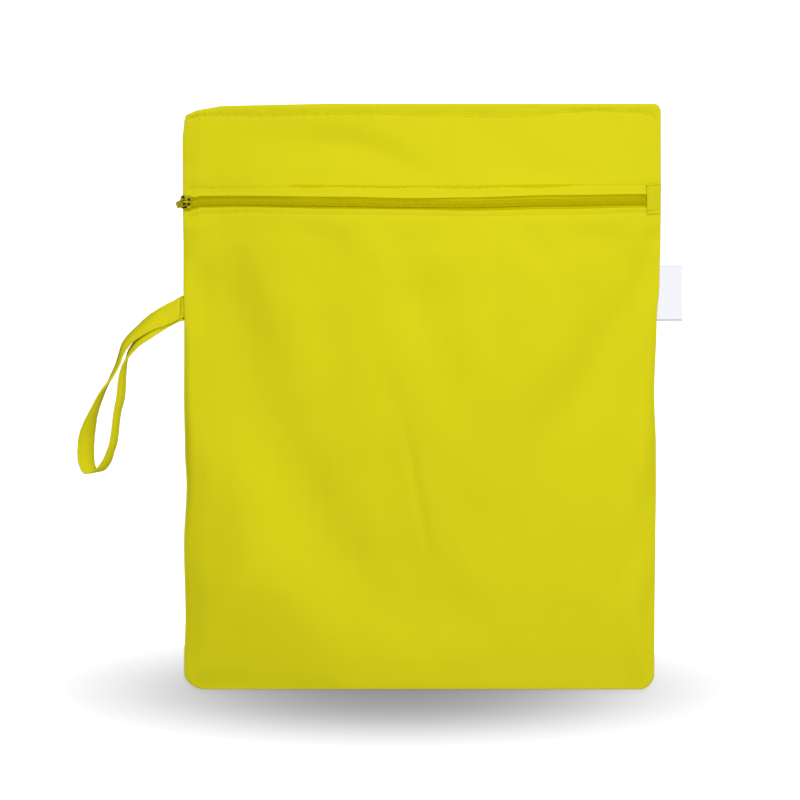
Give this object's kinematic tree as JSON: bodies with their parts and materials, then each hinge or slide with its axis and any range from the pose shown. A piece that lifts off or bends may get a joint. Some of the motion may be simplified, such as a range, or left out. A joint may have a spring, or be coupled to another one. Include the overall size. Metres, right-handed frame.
{
  "type": "cloth wet bag",
  "caption": "Flat zipped cloth pouch with a wrist strap loop in one side seam, a label in the other, and a zip across the front.",
  "frame": {"origin": "the middle of the back panel's flat underside, on which the bag lies", "axes": "+X right along the zip, +Y up the front from the bottom seam to the top seam, +Z out of the front"},
  "size_m": [0.4113, 0.398, 0.0177],
  "materials": {
    "cloth": "smooth laminated knit, matt with a soft sheen",
    "zip_tape": "woven zip tape",
    "zip_coil": "nylon coil",
    "painted_slider": "glossy paint, worn at the edges",
    "label_ribbon": "woven satin ribbon"
  },
  "bodies": {
    "bag": {"back_panel": "cloth", "front_lower_panel": "cloth", "front_upper_panel": "cloth", "zipper_tape_upper": "zip_tape", "zipper_tape_lower": "zip_tape", "zipper_coil": "zip_coil", "zipper_slider": "painted_slider", "zip_end_tab": "cloth", "wrist_strap": "cloth", "side_label": "label_ribbon"},
    "pull": {"zipper_pull": "painted_slider"}
  },
  "joints": [
    {"name": "pull_swing", "type": "hinge", "parent": "bag", "child": "pull", "pos_m": [-0.16, 0.1321, 0.0067], "axis": [-0.309, 0.9511, 0], "range_deg": [0, 182]}
  ]
}
